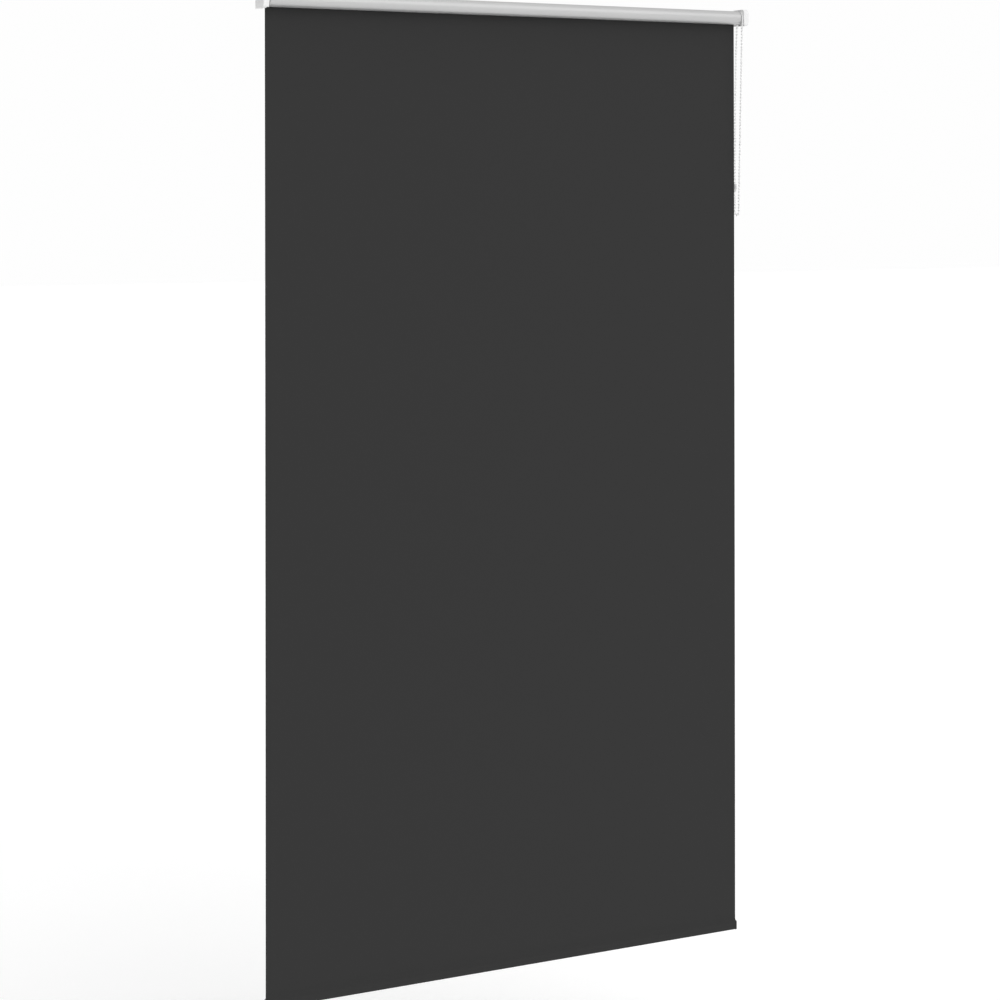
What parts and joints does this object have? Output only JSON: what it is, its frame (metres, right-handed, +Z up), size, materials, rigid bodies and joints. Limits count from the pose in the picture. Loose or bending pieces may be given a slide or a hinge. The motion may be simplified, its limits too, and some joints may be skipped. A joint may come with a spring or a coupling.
{
  "type": "roller blind",
  "caption": "Side-chain roller blind, lowered: covered end brackets, a tube on a clutch and a sprung pin, a plain dark blackout panel and a weighted hem.",
  "frame": {"origin": "on the wall plane, midway between the two brackets, at the height of the tube's axis", "axes": "+X along the tube to the right as seen from the room (the chain's side), +Y into the wall, +Z up; the room is on the -Y side"},
  "size_m": [0.995, 0.036, 1.75],
  "materials": {
    "white_paint": "satin white powder coat",
    "white_plastic": "smooth, slightly glossy white moulding",
    "chain_plastic": "smooth off-white moulding",
    "grey_plastic": "light grey moulding",
    "dark_plastic": "charcoal moulding",
    "clear_plastic": "milky clear moulding",
    "steel": "zinc-plated steel",
    "aluminium": "mill-finish extrusion",
    "charcoal_fabric": "close plain weave, dyed charcoal",
    "coated_reverse": "light grey blackout coating",
    "adhesive": "translucent double-sided tape"
  },
  "bodies": {
    "brackets": {"left_bracket": "white_paint", "left_bracket_cover": "white_plastic", "right_bracket": "white_paint", "right_bracket_cover": "white_plastic", "chain_guard": "white_plastic", "clutch_spindle": "grey_plastic", "clutch_washer": "steel", "clutch_screw": "steel", "bead_chain": "chain_plastic", "chain_connector": "clear_plastic", "fabric_panel": "charcoal_fabric"},
    "roller": {"roller_tube": "aluminium", "adhesive_strip": "adhesive", "fabric_turns": "coated_reverse", "idler_plug": "grey_plastic", "idler_cap": "grey_plastic", "idler_spring": "steel", "drive_sleeve": "grey_plastic", "chain_wheel": "white_plastic", "wrap_spring_outer": "steel", "wrap_spring_inner": "steel"},
    "idler_pin": {"idler_pin": "steel"},
    "hem_bar": {"bottom_bar": "aluminium", "left_bar_cap": "dark_plastic", "right_bar_cap": "dark_plastic", "hem_pocket": "charcoal_fabric"}
  },
  "joints": [
    {"name": "roller_turn", "type": "hinge", "parent": "brackets", "child": "roller", "pos_m": [0, -0.02, 0], "axis": [1, 0, 0], "range_deg": [0, 6145]},
    {"name": "bar_lift", "type": "slide", "parent": "brackets", "child": "hem_bar", "axis": [0, 0, 1], "range_m": [0, 1.685], "deforming": ["fabric_panel"]},
    {"name": "idler_pin_slide", "type": "slide", "parent": "roller", "child": "idler_pin", "axis": [1, 0, 0], "range_m": [0, 0.006], "stiffness_N_per_m": 600, "springref_m": -0.004, "deforming": ["idler_spring"]}
  ],
  "couplings": [
    {"joint": "bar_lift", "follows": "roller_turn", "m_per_rad": 0.0157}
  ]
}
